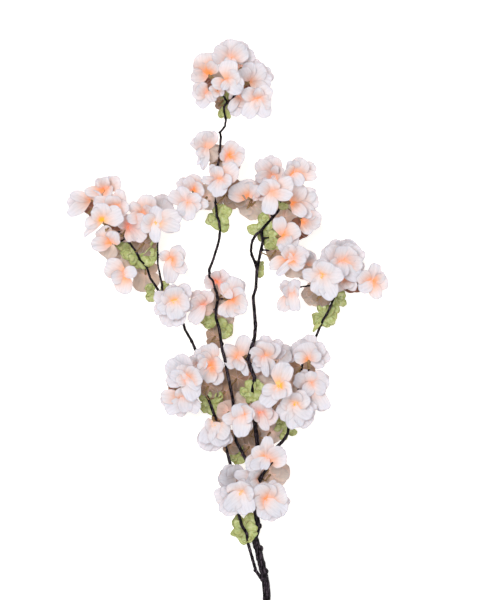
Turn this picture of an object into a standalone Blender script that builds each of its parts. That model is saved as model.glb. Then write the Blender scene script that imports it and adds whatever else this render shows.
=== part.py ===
"""A cut spray of peach blossom, lying down: fabric blossoms and calyces on dark branches.

The spray lies along +Y with its tip at +Y and its cut end at -Y. It rests on the
lowest petals and on the cut end of the stem, at Z = 0.
"""

import math

import bmesh
import bpy
from mathutils import Matrix, Vector

MM = 0.001

# Driving dimensions, in millimetres
CLEARANCE = 0.3            # between two pieces that touch
PETALS = 5
PETAL_REACH = 22.0         # heart to petal tip, across the blossom
CUP_RISE = 0.42            # height of the petal tips above the heart, per reach
NOTCH = 0.6                # reach left between two petals
SHOULDER = 0.96            # reach halfway from a petal's tip to the notch
THROAT_RADIUS = 3.2
THROAT_DROP = 3.0
TUBE_LENGTH = 11.0         # heart to the end of the blossom's tube
TUBE_RADIUS = 1.8
TWIG_RADIUS = 1.1
TWIG_STRAIGHT = 2.0        # last run of a twig, in line with its blossom
TWIG_BEND = 0.45           # how far back along its blossom's axis a twig aims, per its length
CALYX_REACH = 13.5
CALYX_LOBES = 4
CALYX_NOTCH = 0.6
CALYX_RISE = 0.35
CALYX_WALL = 1.2
CALYX_TUBE = 0.4           # where the lobes leave the tube, per reach
CALYX_TURN = 45.0          # spin of its lobes, in degrees
CALYX_EASE = 0.05          # more room for the hole's flat sides
KNOT_RADIUS = 1.0          # per radius of its branch
KNOT_OFFSET = 0.7          # from the branch's centre line, per radius of its branch

SEGMENTS_PER_LOBE = 4      # its tip, a shoulder, a notch and a shoulder
STEM_BEVEL = 2             # rounding of the stems' sections
TWIG_BEVEL = 1
KNOT_SEGMENTS = 6
RINGS = 4                  # of a blossom: rim, throat, end of the tube and its centre

# Branches: radius at foot and tip, and a route in millimetres with x to the right, y to the
# tip and z up from the surface.
BRANCHES = {
    "main_stem": (3.0, 1.5, (
        (47, -324, 3), (45, -294, 6), (44, -277, 8), (39, -256, 11), (35, -239, 14),
        (31.5, -227, 16), (34.5, -214, 19), (32.5, -192, 24), (34, -167, 30),
        (36, -142, 35), (34, -116, 40), (31.5, -97, 44), (31, -83, 47), (29, -63, 49),
        (31.5, -49, 50), (28, -41, 50), (24.5, -29, 50), (28, -17, 49), (31.5, -5, 47),
        (32.5, 8, 44), (31, 27, 41), (30, 39, 39), (33, 49, 38), (34, 69, 38),
        (38, 88, 36), (40.5, 100, 34), (39, 113, 32), (48, 123, 30), (57, 133, 29),
        (62, 142, 28),
    )),
    "left_branch": (1.9, 1.3, (
        (43.5, -280, 8), (33, -264, 14), (24, -232, 24), (23, -222, 26), (17.5, -213, 28),
        (13.5, -199, 30), (9, -170, 33), (4.5, -144, 35), (0, -126, 36), (-10.5, -97, 36),
        (-19, -74, 34), (-26.5, -60, 30), (-30, -42, 27), (-30.5, -27, 27), (-37.5, -10, 30),
        (-45, 3, 33), (-47.5, 12, 33), (-59, 29, 32), (-70.5, 41, 34), (-76, 49, 36),
        (-83.5, 60, 38), (-87, 72, 38), (-94.5, 80, 38), (-99, 89, 36), (-102, 93, 36),
        (-112, 106, 36), (-119, 112, 36), (-126, 118, 36),
    )),
    "centre_branch": (1.9, 1.3, (
        (34, -167, 30), (28.5, -153, 34), (19.5, -135, 37), (11, -119, 39), (9, -96, 43),
        (7.5, -73, 47), (1, -40, 50), (-1, -30, 50), (-4.5, -16, 49), (-5.5, -8, 48),
        (-7.5, 5, 46), (-11, 16, 43), (-11, 25, 41), (-9, 36, 40), (-10, 44, 40),
        (-13, 50, 40), (-13, 57, 40), (-17.5, 62, 40), (-18.5, 69, 40), (-15.5, 76, 40),
        (-10, 93, 40), (-7.5, 102, 40), (-6.5, 113, 40), (-7.5, 122, 40), (-10, 128, 40),
        (-11, 141, 38), (-13, 151, 36), (-12, 166, 36), (-10, 181, 38), (-7.5, 190, 40),
        (-6.5, 201, 42), (-5.5, 215, 42), (-6.5, 220, 42), (-1, 227, 40), (0, 235, 38),
        (-2, 243, 37), (-2, 250, 36), (4.5, 256, 36), (9, 263, 36),
    )),
    "right_branch": (1.9, 1.3, (
        (35.5, -148, 34), (48, -134, 35), (63, -119, 38), (68, -111, 40), (72, -85, 37),
        (79, -62, 32), (83.5, -39, 28), (85, -31, 27), (97, -10, 28), (107, 14, 34),
        (113, 24, 38), (118, 36, 38), (121, 48, 36), (130, 60, 34),
    )),
}

# Side shoots that grow out of a branch: branch, radius at foot and tip, route
SHOOTS = (
    ("left_branch", 1.3, 1.1, (
        (-70, 42, 34), (-70.5, 53, 37), (-72.5, 63, 38), (-75, 75, 38), (-75, 100, 38),
    )),
    ("main_stem", 1.3, 1.1, (
        (34, 69, 38), (31, 78, 40), (27.5, 86, 40), (28.5, 95, 40),
    )),
    ("main_stem", 1.4, 1.1, ((34, -167, 30), (38, -160, 36), (46, -147, 40))),
)

# Knots and leaf scars: branch, y, and the side that each swells to
KNOTS = (
    ("main_stem", -265, (1, 0, 0)),
    ("main_stem", -240, (1, 0.2, 0)),
    ("main_stem", -214, (1, 0, 0)),
    ("main_stem", -29, (-1, 0, 0)),
    ("left_branch", -264, (-1, 0, 0)),
    ("left_branch", -10, (-0.5, 0, 0.5)),
    ("centre_branch", 220, (-1, 0, 0)),
    ("centre_branch", -12, (1, 0, 0)),
)

RESTS = None               # height of a blossom whose lowest petal lies on the surface

# Blossoms by cluster: branch, x, y, z, azimuth, elevation, spin. The first three numbers place
# the heart in millimetres. The blossom faces azimuth degrees round from +X and elevation
# degrees up from the surface, and spin turns its petals about that axis.
CLUSTERS = {
    "top": (
        ("centre_branch", 5.5, 300, 40, 70, 33, 0),
        ("centre_branch", -19, 284, 34, 140, 26, 36),
        ("centre_branch", 2, 274, 66, 90, 74, 0),
        ("centre_branch", -19, 262, 50, 225, 45, 36),
        ("centre_branch", 35, 255, 54, 270, 68, 0),
        ("centre_branch", 26, 276.5, 36, 30, 26, 0),
        ("centre_branch", 4, 272, RESTS, 90, -75, 0),
    ),
    "upper": (
        ("centre_branch", -21, 201, 46, 180, 50, 0),
        ("centre_branch", 2, 194, 38, 35, 35, 0),
    ),
    "centre": (
        ("centre_branch", -7.5, 165.5, 56, 90, 58, 0),
        ("centre_branch", -43, 141.5, 50, 20, 62, 0),
        ("main_stem", 24.5, 149, 36, 165, 70, 0),
    ),
    "right_top": (
        ("main_stem", 52, 172, 33, 105, 26, 0),
        ("main_stem", 74, 173, 50, 45, 40, 0),
        ("main_stem", 49, 153, 62, 240, 60, 0),
        ("main_stem", 71, 143, 42, 345, 38, 0),
        ("main_stem", 61, 106, 43, 5, 44, 36),
        ("main_stem", 72.5, 81, 58, 230, 66, 0),
    ),
    "right": (
        ("right_branch", 105.5, 62, 60, 270, 78, 0),
        ("right_branch", 127.5, 75.5, 48, 270, 80, 0),
        ("right_branch", 159.5, 55.5, 42, 20, 50, 0),
        ("right_branch", 71.5, 44, 36, 215, 38, 0),
        ("right_branch", 97, 42, RESTS, 240, -70, 0),
    ),
    "left": (
        ("left_branch", -133, 157, 40, 95, 30, 0),
        ("left_branch", -148.5, 146, 36, 200, 32, 0),
        ("left_branch", -134, 122, 60, 115, 66, 0),
        ("left_branch", -90, 129, 36, 130, 48, 0),
        ("left_branch", -77, 120.5, 60, 330, 75, 0),
        ("left_branch", -125, 98, 45, 195, 42, 36),
        ("left_branch", -110.5, 65, 34, 240, 66, 0),
        ("left_branch", -60.5, 80, 44, 320, 55, 0),
        ("left_branch", -89, 64, RESTS, 270, -60, 0),
    ),
    "middle": (
        ("left_branch", -57, 33.5, 54, 270, 78, 0),
        ("centre_branch", -25.5, 29, 46, 150, 52, 0),
        ("centre_branch", 5.5, 37, 48, 0, 50, 0),
    ),
    "lower": (
        ("left_branch", -15.5, -37, 38, 165, 58, 0),
        ("main_stem", 15, -27, 40, 180, 38, 0),
        ("left_branch", -42, -50, 52, 180, 68, 0),
        ("main_stem", 42, -28, 44, 30, 55, 0),
        ("right_branch", 91, -30, 48, 90, 32, 0),
        ("main_stem", 58, -59, 62, 90, 78, 0),
        ("right_branch", 75, -78, 50, 300, 74, 0),
        ("right_branch", 93, -57, 36, 0, 50, 0),
        ("centre_branch", 17.5, -90, 61, 180, 74, 0),
        ("left_branch", -13, -101, 48, 280, 46, 0),
        ("main_stem", 34, -100, RESTS, 90, -75, 0),
    ),
    "bottom": (
        ("main_stem", 45, -139, 52, 90, 75, 0),
        ("main_stem", 17.5, -176.5, 46, 180, 62, 0),
        ("main_stem", 45, -184, 42, 350, 58, 0),
    ),
}

# Calyces threaded on the branches: branch, y of the place, tilt to +Z in degrees
CALYCES = {
    "calyx_top": ("centre_branch", 247, 20),
    "calyx_centre": ("centre_branch", 122, 35),
    "calyx_right_top": ("main_stem", 115, 35),
    "calyx_right": ("right_branch", 16, 30),
    "calyx_left": ("left_branch", 83, 35),
    "calyx_lower": ("left_branch", -78, 30),
    "calyx_bottom": ("left_branch", -222, 35),
}


def clear_scene():
    for thing in list(bpy.data.objects):
        bpy.data.objects.remove(thing)


def new_collection(name):
    collection = bpy.data.collections.new(name)
    bpy.context.scene.collection.children.link(collection)
    return collection


def finish(name, colour, roughness):
    material = bpy.data.materials.new(name)
    material.use_nodes = True
    shader = material.node_tree.nodes["Principled BSDF"]
    shader.inputs["Base Color"].default_value = (*colour, 1.0)
    shader.inputs["Roughness"].default_value = roughness
    shader.inputs["Metallic"].default_value = 0.0
    return material


def facing(azimuth, elevation):
    around = math.radians(azimuth)
    up = math.radians(elevation)
    return Vector((math.cos(up) * math.cos(around), math.cos(up) * math.sin(around), math.sin(up)))


def turned_to(axis, spin):
    """A rotation whose Z is the axis and whose X leans to the tip of the spray."""
    side = Vector((0.0, 1.0, 0.0))
    side = (side - side.dot(axis) * axis).normalized()
    frame = Matrix((side, axis.cross(side), axis)).transposed()
    return frame @ Matrix.Rotation(math.radians(spin), 3, "Z")


def lobed(angle, count, notch):
    """Reach of a rim with rounded lobes at an angle, as a share of its full reach."""
    step = round(angle * count * SEGMENTS_PER_LOBE / (2.0 * math.pi))
    return (1.0, SHOULDER, notch, SHOULDER)[step % SEGMENTS_PER_LOBE]


class Branch:
    """A tapered route with its side shoots, and the twigs and knots that are joined to it."""

    def __init__(self, name, cutters):
        foot, tip, route = BRANCHES[name]
        self.name = name
        self.points = [Vector(point) for point in route]
        self.radii = tapered(len(route), foot, tip)
        self.ways = [self.points]
        self.twigs = bpy.data.collections.new(name + "_twigs")
        cutters.children.link(self.twigs)

    def at(self, y):
        """The place, direction and radius of the branch at a distance along Y."""
        for step, (start, end) in enumerate(zip(self.points, self.points[1:])):
            if start.y <= y <= end.y:
                share = (y - start.y) / (end.y - start.y)
                radius = self.radii[step] * (1.0 - share) + self.radii[step + 1] * share
                return start.lerp(end, share), (end - start).normalized(), radius
        raise ValueError(f"{self.name} doesn't pass y = {y}")

    def nearest(self, place):
        """The point of the branch or its shoots that is nearest to a place."""
        spots = [spot for way in self.ways for spot in nearest_on_runs(way, place)]
        return min(spots, key=lambda spot: (spot - place).length)


def tapered(count, first, last):
    return [first + (last - first) * step / (count - 1) for step in range(count)]


def nearest_on_runs(way, place):
    """The nearest point of each run of a way, kept clear of the run's ends."""
    for start, end in zip(way, way[1:]):
        run = end - start
        inset = TWIG_RADIUS / run.length
        share = (place - start).dot(run) / run.length_squared
        yield start + run * max(inset, min(1.0 - inset, share))


def tube(name, points, radii, bevel_resolution, collection):
    """A round closed tube along points, its caps welded, as a mesh object."""
    curve = bpy.data.curves.new(name, "CURVE")
    curve.dimensions = "3D"
    curve.bevel_depth = MM
    curve.bevel_resolution = bevel_resolution
    curve.use_fill_caps = True
    spline = curve.splines.new("POLY")
    spline.points.add(len(points) - 1)
    for spot, point, radius in zip(spline.points, points, radii):
        spot.co = (*(point * MM), 1.0)
        spot.radius = radius
    wire = bpy.data.objects.new(name + "_route", curve)
    collection.objects.link(wire)
    graph = bpy.context.evaluated_depsgraph_get()
    mesh = bpy.data.meshes.new_from_object(wire.evaluated_get(graph))
    mesh.name = name
    shape = bmesh.new()
    shape.from_mesh(mesh)
    bmesh.ops.remove_doubles(shape, verts=shape.verts, dist=0.001 * MM)
    bmesh.ops.recalc_face_normals(shape, faces=shape.faces)
    shape.to_mesh(mesh)
    shape.free()
    solid = bpy.data.objects.new(name, mesh)
    solid.matrix_world = wire.matrix_world.copy()
    collection.objects.link(solid)
    bpy.data.objects.remove(wire)
    return solid


def knot(name, centre, radius, collection):
    mesh = bpy.data.meshes.new(name)
    shape = bmesh.new()
    bmesh.ops.create_uvsphere(
        shape, u_segments=KNOT_SEGMENTS, v_segments=RINGS, radius=radius * MM
    )
    bmesh.ops.translate(shape, verts=shape.verts, vec=centre * MM)
    shape.to_mesh(mesh)
    shape.free()
    solid = bpy.data.objects.new(name, mesh)
    collection.objects.link(solid)
    return solid


def blossom_mesh():
    """Five petals round a heart at the origin, opening to +Z, with a tube behind."""
    shape = bmesh.new()
    segments = PETALS * SEGMENTS_PER_LOBE
    bmesh.ops.create_uvsphere(shape, u_segments=segments, v_segments=RINGS, radius=1.0)
    for vertex in shape.verts:
        angle = math.atan2(vertex.co.y, vertex.co.x)
        ring = round(RINGS * math.acos(max(-1.0, min(1.0, vertex.co.z))) / math.pi)
        if ring == 0:
            radius, height = 0.0, 0.0
        elif ring == 1:
            radius = PETAL_REACH * lobed(angle, PETALS, NOTCH)
            height = CUP_RISE * radius * radius / PETAL_REACH
        elif ring == 2:
            radius, height = THROAT_RADIUS, -THROAT_DROP
        elif ring == 3:
            radius, height = TUBE_RADIUS, -TUBE_LENGTH
        else:
            radius, height = 0.0, -TUBE_LENGTH
        vertex.co = Vector((radius * math.cos(angle), radius * math.sin(angle), height)) * MM
    mesh = bpy.data.meshes.new("blossom")
    shape.to_mesh(mesh)
    shape.free()
    return mesh


def calyx(name, place, axis, hole, collection):
    """A lobed collar round a hole, opening to its axis."""
    segments = CALYX_LOBES * SEGMENTS_PER_LOBE
    bpy.ops.mesh.primitive_torus_add(
        major_segments=segments, minor_segments=4, major_radius=2.0, minor_radius=1.0
    )
    collar = bpy.context.object
    collar.name = name
    for vertex in collar.data.vertices:
        angle = math.atan2(vertex.co.y, vertex.co.x)
        ring = round(math.hypot(vertex.co.x, vertex.co.y))
        if ring == 3:
            radius = CALYX_REACH * lobed(angle, CALYX_LOBES, CALYX_NOTCH)
        elif ring == 2:
            radius = CALYX_REACH * CALYX_TUBE
        else:
            radius = hole
        height = CALYX_RISE * radius * radius / CALYX_REACH + 0.5 * CALYX_WALL * vertex.co.z
        vertex.co = Vector((radius * math.cos(angle), radius * math.sin(angle), height)) * MM
    collar.matrix_world = Matrix.Translation(place * MM) @ turned_to(axis, CALYX_TURN).to_4x4()
    for other in list(collar.users_collection):
        other.objects.unlink(collar)
    collection.objects.link(collar)
    return collar


def hang_blossom(name, mesh, heart, turn, parts):
    flower = bpy.data.objects.new(name, mesh)
    flower.matrix_world = Matrix.Translation(heart * MM) @ turn.to_4x4()
    parts.objects.link(flower)


def twig_route(foot, heart, axis):
    """From the branch to just behind the blossom, the last run in line with it."""
    seat = heart - axis * (TUBE_LENGTH + CLEARANCE)
    before = seat - axis * TWIG_STRAIGHT
    bend = before - axis * TWIG_BEND * (before - foot).length
    middle = foot.lerp(bend, 0.5).lerp(bend.lerp(before, 0.5), 0.5)
    return [foot, middle, before, seat]


def centre_on_origin(solids, helpers):
    """Move everything so that the solids stand on Z = 0, centred on X = Y = 0."""
    graph = bpy.context.evaluated_depsgraph_get()
    corners = []
    for solid in solids:
        shape = solid.evaluated_get(graph)
        corners += [shape.matrix_world @ vertex.co for vertex in shape.data.vertices]
    low = Vector(min(corner[axis] for corner in corners) for axis in range(3))
    high = Vector(max(corner[axis] for corner in corners) for axis in range(3))
    shift = Vector(((low.x + high.x) / 2.0, (low.y + high.y) / 2.0, low.z))
    for thing in list(solids) + list(helpers):
        thing.matrix_world = Matrix.Translation(-shift) @ thing.matrix_world


def grow_shoots(branches):
    for number, (name, foot, tip, route) in enumerate(SHOOTS, 1):
        branch = branches[name]
        points = [Vector(point) for point in route]
        radii = tapered(len(points), foot, tip)
        tube(f"shoot_{number}", points, radii, STEM_BEVEL, branch.twigs)
        branch.ways.append(points)


def swell_knots(branches):
    for number, (name, y, side) in enumerate(KNOTS, 1):
        branch = branches[name]
        place, _, radius = branch.at(y)
        centre = place + Vector(side).normalized() * radius * KNOT_OFFSET
        knot(f"knot_{number}", centre, radius * KNOT_RADIUS, branch.twigs)


def hang_blossoms(branches, mesh, parts):
    """Each blossom, and the twig that carries it."""
    for cluster, blossoms in CLUSTERS.items():
        for number, (branch, x, y, z, azimuth, elevation, spin) in enumerate(blossoms, 1):
            name = f"blossom_{cluster}_{number}"
            axis = facing(azimuth, elevation)
            turn = turned_to(axis, spin)
            if z is RESTS:
                z = -min((turn @ vertex.co).z for vertex in mesh.vertices) / MM
            heart = Vector((x, y, z))
            hang_blossom(name, mesh, heart, turn, parts)
            foot = branches[branch].nearest(heart - axis * (TUBE_LENGTH + TWIG_STRAIGHT))
            route = twig_route(foot, heart, axis)
            radii = [TWIG_RADIUS] * len(route)
            tube(f"twig_{name}", route, radii, TWIG_BEVEL, branches[branch].twigs)


def thread_calyces(branches, leaf, parts):
    for name, (branch, y, tilt) in CALYCES.items():
        place, direction, radius = branches[branch].at(y)
        lift = math.radians(tilt)
        axis = (direction * math.cos(lift) + Vector((0, 0, 1)) * math.sin(lift)).normalized()
        hole = (radius + CLEARANCE) / axis.dot(direction) + CALYX_EASE
        collar = calyx(name, place, axis, hole, parts)
        collar.data.materials.append(leaf)


def raise_stems(branches, bark, parts, cutters):
    """The stems: the side branches end at the main stem's surface."""
    main = branches["main_stem"]
    wider = [radius + CLEARANCE for radius in main.radii]
    clearance = tube("main_stem_clearance", main.points, wider, STEM_BEVEL, cutters)
    for name, branch in branches.items():
        stem = tube(name, branch.points, branch.radii, STEM_BEVEL, parts)
        stem.data.materials.append(bark)
        if branch is not main:
            cut = stem.modifiers.new("foot", "BOOLEAN")
            cut.operation = "DIFFERENCE"
            cut.object = clearance
        join = stem.modifiers.new("twigs", "BOOLEAN")
        join.operation = "UNION"
        join.operand_type = "COLLECTION"
        join.collection = branch.twigs


def build():
    clear_scene()
    parts = new_collection("peach_blossom_spray")
    cutters = new_collection("cutters")
    bark = finish("dark_bark", (0.02, 0.016, 0.02), 0.6)
    petal = finish("petal_fabric", (0.85, 0.76, 0.74), 0.85)
    leaf = finish("calyx_fabric", (0.45, 0.55, 0.22), 0.85)
    mesh = blossom_mesh()
    mesh.materials.append(petal)

    branches = {name: Branch(name, cutters) for name in BRANCHES}
    grow_shoots(branches)
    swell_knots(branches)
    hang_blossoms(branches, mesh, parts)
    thread_calyces(branches, leaf, parts)
    raise_stems(branches, bark, parts, cutters)
    centre_on_origin(parts.objects, cutters.all_objects)
    for piece in cutters.all_objects:
        piece.hide_render = True
        piece.display_type = "WIRE"


build()
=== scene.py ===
"""Looks of a cut spray of peach blossom: pressed fabric blossoms and green calyces on dark branches.

The spray lies on the surface with its tip at +Y. Each blossom and calyx takes its place and its
facing from its solid in the frame.
"""

import math
import random
import types

import bmesh
import bpy
import numpy as np
from mathutils import Matrix, Vector, noise


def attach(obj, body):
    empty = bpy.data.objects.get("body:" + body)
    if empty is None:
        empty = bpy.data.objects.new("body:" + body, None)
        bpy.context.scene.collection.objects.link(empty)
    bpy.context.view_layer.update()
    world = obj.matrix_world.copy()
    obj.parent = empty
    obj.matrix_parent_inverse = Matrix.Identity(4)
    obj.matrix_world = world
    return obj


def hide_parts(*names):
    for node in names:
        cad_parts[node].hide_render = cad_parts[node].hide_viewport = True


MM = 0.001
UP = Vector((0.0, 0.0, 1.0))

# Sizes in millimetres
TUBE_LENGTH = 11.0         # from a blossom's heart to the end of its tube
CLOTH = 0.28               # thickness of the petal cloth
LEAF_CLOTH = 0.45          # thickness of the calyx cloth
FULL_PETAL = 19.0          # length of a whole petal, whose width a shorter one keeps
PETAL_STEP = 0.2           # of each petal above the last
BEHIND_DROP = 2.0          # of the petals behind below the heart
NEAR_LIFT = 1.4            # of the first near petal above the heart
NEAR_STEP = 0.4            # of each near petal above the last
FOLD = 3.0                 # how far a near petal reaches back over the heart
RIB = 0.22                 # height of the ribs pressed along a petal
GROOVE = 0.5               # depth of the groove down its middle
GROOVE_WIDTH = 1.1         # from the middle of the groove to its side
LEAST_HEIGHT = 0.3         # of the cloth above the surface
THREAD = 0.5               # from one drawn thread of the weave to the next
BARK_VOXEL = 0.65          # cells in which a branch's joints are rounded
BROWN_REACH = 6.5          # from a heart to where its twig starts to lose its brown
FOOT_START = -185.0        # the main stem thickens below this, along the spray,
FOOT_LENGTH = 30.0         # and is at its full girth after this
STAMEN_LIFT = 0.4          # of a stamen's foot above the heart

# Counts and shares
PETAL_GRID = 15            # points across and along a petal
SLOPE_STEPS = 56           # along its middle line
NOTCH_WIDTH = 0.16         # of the notch at its tip, over its half width
BEHIND_WIDTH = 0.68        # of a petal behind, over its length
BARK_RIDGES = (900.0, 130.0, 900.0)    # ridges in the bark for each metre
BARK_LUMPS = (200.0, 160.0, 200.0)     # lumps in the bark for each metre

# How a calyx leaf differs from a petal
LEAF = {"thickness": LEAF_CLOTH, "claw": 0.6, "notch": 0.0, "lobed": 0.05}


def lying(*petals, near=(), behind=(), dye="peach", faint=0.0, lift=0.0):
    """How a blossom lies, seen from above.

    Each petal is the direction it points in degrees, its reach from the heart in millimetres, and
    its width where that is unusual. A reach below 0 shows the petal's back. near petals fold over
    the heart, and behind is a second, greyer ring under the first. faint is how much of the dye at
    the heart is missing, and lift is how much higher the blossom lies than its solid.
    """
    return types.SimpleNamespace(petals=petals, near=near, behind=behind, dye=dye, faint=faint, lift=lift)


BLOSSOMS = {
    "top_1": lying((152, 22, 20), (25, 22, 19), (50, 22, 16), (78, 22, 24), near=((285, 11, 13),
        (230, 9, 11)), behind=((108, 23), (15, 27), (60, 25))),
    "top_2": lying((55, 15, 14), (152, 20, 15), (200, 20, 15), (112, 24, 26)),
    "top_3": lying((350, 19, 15), (30, 15), (84, 24, 20), (196, 18, 13), near=((318, 19, 15),
        (238, 11, 9))),
    "top_4": lying((150, 15, 15), (176, 19, 18), near=((243, 19, 15), (305, 12, 9))),
    "top_5": lying((140, 19, 16), (38, 19, 18), (350, 16, 15), (90, 12, 12), near=((300, 22, 17),
        (233, 25, 16))),
    "top_6": lying((92, 21, 15), (42, 23, 19), (2, 25, 19), (128, 17, 14), (325, 22, 15), behind=((18, 28),
        (62, 26)), faint=0.22),
    "top_7": lying((0, -24), (60, -26), (120, -26), (165, -28), (216, -24), (288, -18)),
    "upper_1": lying((150, 20, 14), (110, 20, 22), (72, 21, 16), (196, 13, 11), (350, -13, 12),
        (300, -16, 12), near=((243, 20, 8), (262, 23, 9))),
    "upper_2": lying((52, 18, 17), (18, 20, 15), (330, 19, 16), (95, 17, 11), (275, 14, 12), (165, 9)),
    "centre_1": lying((128, 20, 10), (168, 20, 9), (30, 26, 20), (92, 17, 13), (350, 14),
        near=((285, 17, 17), (215, 16, 10))),
    "centre_2": lying((155, 23, 15), (107, 20, 16), (42, 17, 14), (3, 24, 13), (330, 17, 12),
        near=((288, 19, 17), (235, 15, 13))),
    "centre_3": lying((60, 17, 20), (178, 23, 17), (118, 20, 30)),
    "right_top_1": lying((176, 20, 14), (132, 24, 18), (86, 21, 17), (20, 14), (66, 12, 9),
        near=((322, 19, 15),), behind=((108, 24),)),
    "right_top_2": lying((58, 21, 20), (22, 27, 15), (100, 16, 14), (150, 11), (355, 26, 12),
        near=((302, 15, 14),)),
    "right_top_3": lying((20, 28, 18), (95, 15, 22), (150, 16, 14), (345, 24, 13), near=((266, 25, 16),),
        faint=0.06),
    "right_top_4": lying((315, 22, 14), (60, 23, 20), (340, 29, 16), (28, 30, 18), (5, 32, 19)),
    "right_top_5": lying((18, 22, 19), (335, 21, 16), (300, 13), (103, 22, 14)),
    "right_top_6": lying((45, 19, 17), (95, 16, 14), (282, -22), (290, 15), (196, 27, 14), (150, 15, 12),
        (350, 15, 14), near=((135, 22, 7), (233, 26, 8))),
    "right_1": lying((110, 19, 18), (178, 23, 14), (5, 23, 18), (60, 17), near=((298, 28, 20),
        (247, 22, 17)), dye="yellow"),
    "right_2": lying((135, 25, 18), (98, 20, 18), (55, 21, 19), (12, 23, 18), (190, 15),
        near=((318, 25, 19), (262, 15, 15)), behind=((115, 24), (60, 26), (28, 28), (152, 27), (345, 25))),
    "right_3": lying((82, 22, 13), (35, 17, 14), (2, 19, 17), (302, 20, 14), (143, 17, 16),
        near=((214, 16, 15),)),
    "right_4": lying((165, 10, 12), (15, 9, 12), (128, 16, 13), (238, 24, 15), near=((74, 16, 13),
        (281, 22, 14)), faint=0.05),
    "right_5": lying((150, -13), (205, -13), (262, -11), (310, -13), (0, -14), (80, -14)),
    "left_1": lying((115, 13, 12), (35, 21, 15), (80, 14, 12), (193, 22, 12), (330, 10), behind=((55, 18),
        (125, 15))),
    "left_2": lying((208, 30, 14), (172, 24, 12), (60, 12), behind=((192, 27),), faint=0.16),
    "left_3": lying((92, 20, 20), (192, 21, 13), (203, 27, 7), (135, 17, 14), (22, 24, 21), dye="yellow"),
    "left_4": lying((140, 20, 12), (185, 19, 13), (35, 12), (72, 23, 20), lift=12),
    "left_5": lying((22, 29, 20), (190, 17, 15), (140, 14, 13), (350, 28, 15), (335, 24, 12),
        near=((88, 18, 15), (266, 22, 12)), dye="yellow"),
    "left_6": lying((135, 22, 18), (172, 23, 13), (205, 22, 11), (243, -17), (60, 13)),
    "left_7": lying((152, 25, 21), (195, 17, 14), (85, -18), (268, 23, 19), near=((8, 13, 13),)),
    "left_8": lying((150, 14, 12), (5, 15), (325, 22, 14), (45, 19, 18), near=((268, 26, 18),)),
    "left_9": lying((250, -20), (180, -15), (320, -18), (60, -17), (120, -16)),
    "middle_1": lying((65, 18), (5, 18), (140, 16), (100, 17), (300, 20), near=((222, 20, 15),
        (268, 20, 18)), behind=((165, 23), (205, 24), (252, 28), (292, 27), (45, 25), (95, 20), (345, 21)),
        dye="yellow"),
    "middle_2": lying((158, 16, 15), (72, 19, 15), (345, -12), (120, 15), near=((229, 23, 15),),
        behind=((115, 20),), dye="salmon", faint=0.06),
    "middle_3": lying((118, 20, 12), (75, 25, 19), (250, 22, 15), (285, 21, 14), (335, 21, 20), (20, 17),
        behind=((100, 27), (55, 24))),
    "lower_1": lying((135, 20, 14), (90, 26, 18), (165, 16, 14), (10, 13), (225, 18, 14), (300, 22, 15),
        (262, 19, 14), behind=((125, 26),), lift=-6),
    "lower_2": lying((142, 21, 16), (70, 25, 18), (225, 18, 13), (255, 14, 13), near=((292, 22, 9),)),
    "lower_3": lying((105, 17, 17), (60, 16, 15), (200, 13, 13), (15, 16), near=((165, 20, 14),
        (298, 25, 20), (330, 18, 15)), behind=((155, 29), (102, 28), (187, 24), (128, 28))),
    "lower_4": lying((138, 18, 14), (75, 19, 20), (35, 22, 17), (205, 13, 12), near=((238, 19, 13),
        (272, 21, 9), (303, 20, 14)), behind=((82, 25), (34, 28), (112, 22)), lift=-4),
    "lower_5": lying((160, 17, 13), (25, 15, 14), (98, 20, 27), behind=((120, 26), (88, 28), (8, 24),
        (55, 24), (345, 18)), faint=0.1),
    "lower_6": lying((58, 27, 17), (88, 28, 20), (187, 20, 12), (345, 15), (290, 14), near=((238, 28, 17),),
        dye="yellow"),
    "lower_7": lying((85, 14), (165, 15), (20, 18), near=((322, 24, 17), (275, 28, 20), (213, 23, 19)),
        behind=((300, 30), (335, 26)), dye="yellow"),
    "lower_8": lying((95, 15, 14), (300, 34, 15), (150, 20, 16), (22, 21, 21), (345, 18, 16),
        near=((235, 13, 14),), behind=((10, 22), (120, 18)), faint=0.2),
    "lower_9": lying((188, 22, 14), (350, 12), (45, 14), near=((118, 14, 19), (265, 24, 19)),
        behind=((300, 20, 12),)),
    "lower_10": lying((325, 20), (185, 10), near=((243, 24, 16), (292, 25, 22)), behind=((268, 30),
        (245, 30), (300, 28)), dye="yellow"),
    "lower_11": lying((20, -20), (90, -20), (160, -20), (230, -20), (300, -20), dye="pale"),
    "bottom_1": lying((5, 22, 19), (140, 20, 16), (42, 22, 18), (190, 25, 18), (95, 26, 14),
        near=((215, 20, 13), (250, 12, 10))),
    "bottom_2": lying((15, 13), (60, 16, 16), (105, 15, 26), near=((220, 25, 18), (290, 24, 21)),
        behind=((198, 31), (222, 31), (172, 24)), dye="yellow"),
    "bottom_3": lying((190, 14), (80, 20), (22, 24), (126, 20), near=((262, 22, 18), (322, 25, 22)),
        behind=((50, 24), (350, 26), (290, 25))),
}

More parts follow.
